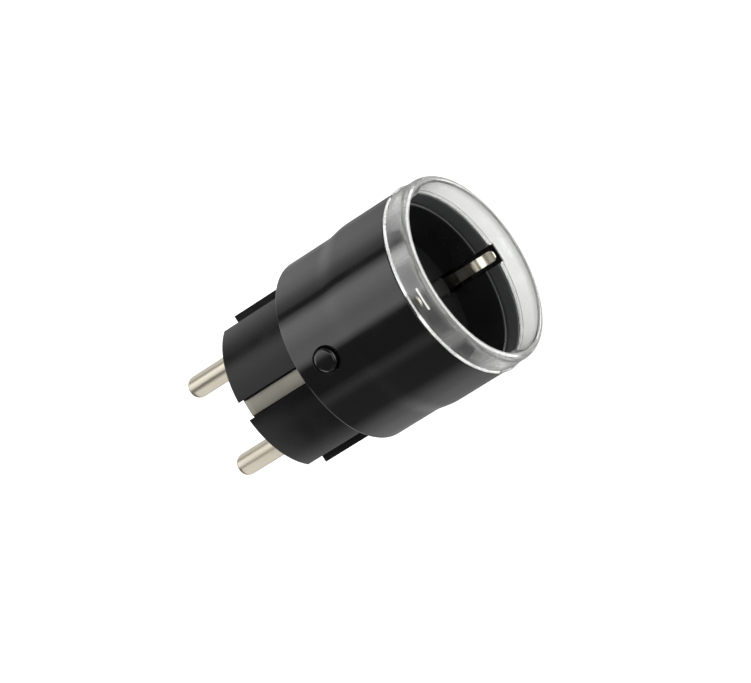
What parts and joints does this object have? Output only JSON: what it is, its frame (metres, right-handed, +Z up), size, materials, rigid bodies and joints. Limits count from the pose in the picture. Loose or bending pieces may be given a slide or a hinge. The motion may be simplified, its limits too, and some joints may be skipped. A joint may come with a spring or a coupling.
{
  "type": "smart plug",
  "caption": "Round plug-through smart adapter for type F sockets: earthed plug end, switched socket well with shutter, side button and clear light ring at the mouth.",
  "frame": {"origin": "centre of the plug face that meets the wall socket", "axes": "+X along the line of the two pins, +Y along the plug's axis the way the pins point, +Z up through the side button; the socket mouth faces -Y"},
  "size_m": [0.0428, 0.0724, 0.0429],
  "materials": {
    "black_gloss": "polished black moulding",
    "black_satin": "satin black moulding",
    "black_insert": "semi-gloss black moulding",
    "clear_ring": "clear polycarbonate",
    "white_plastic": "natural moulding",
    "nickel": "nickel plated",
    "bronze": "bare stamped strip",
    "spring_steel": "bare spring strip",
    "board": "green solder mask",
    "relay_case": "moulded case",
    "film_case": "moulded case",
    "varistor": "dipped epoxy",
    "fuse": "glazed body",
    "chip": "moulded epoxy",
    "capacitor_can": "sleeved can",
    "shield": "tinned can",
    "led": "encapsulant"
  },
  "bodies": {
    "case": {"housing_shell": "black_gloss", "plug_base": "black_satin", "live_pin": "nickel", "neutral_pin": "nickel", "plug_earth_strip_top": "nickel", "plug_earth_strip_bottom": "nickel", "earth_yoke": "nickel", "earth_link": "nickel", "earth_bridge": "nickel", "socket_insert": "black_insert", "light_ring": "clear_ring", "shutter_cover": "white_plastic", "shutter_spring": "spring_steel", "live_contact": "bronze", "neutral_contact": "bronze", "live_strap": "bronze", "neutral_strap": "bronze", "power_board": "board", "control_board": "board", "relay": "relay_case", "film_capacitor": "film_case", "varistor": "varistor", "fuse_resistor": "fuse", "rectifier": "chip", "bulk_capacitor_left": "capacitor_can", "bulk_capacitor_right": "capacitor_can", "supply_inductor": "chip", "radio_board": "board", "radio_shield": "shield", "meter_chip": "chip", "switch_body": "chip", "led_1": "led", "led_2": "led", "led_3": "led", "led_4": "led"},
    "button": {"button_cap": "black_gloss"},
    "plunger": {"switch_plunger": "white_plastic"},
    "shutter_body": {"shutter": "white_plastic"},
    "earth_arm_top": {"earth_spring_top": "nickel"},
    "earth_arm_bottom": {"earth_spring_bottom": "nickel"}
  },
  "joints": [
    {"name": "button_press", "type": "slide", "parent": "case", "child": "button", "axis": [0, 0, -1], "range_m": [0, 0.0006], "stiffness_N_per_m": 2500},
    {"name": "plunger_press", "type": "slide", "parent": "case", "child": "plunger", "axis": [0, 0, -1], "range_m": [0, 0.00036]},
    {"name": "shutter_turn", "type": "hinge", "parent": "case", "child": "shutter_body", "pos_m": [0, -0.0333, 0], "axis": [0, -1, 0], "range_deg": [0, 40], "stiffness_Nm_per_rad": 0.012, "deforming": ["shutter_spring"]},
    {"name": "earth_spring_top_flex", "type": "hinge", "parent": "case", "child": "earth_arm_top", "pos_m": [0, -0.0312, 0.0169], "axis": [-1, 0, 0], "range_deg": [0, 3.5], "stiffness_Nm_per_rad": 0.75},
    {"name": "earth_spring_bottom_flex", "type": "hinge", "parent": "case", "child": "earth_arm_bottom", "pos_m": [0, -0.0312, -0.0169], "axis": [1, 0, 0], "range_deg": [0, 3.5], "stiffness_Nm_per_rad": 0.75}
  ],
  "couplings": [
    {"joint": "plunger_press", "follows": "button_press", "ratio": 0.6}
  ]
}
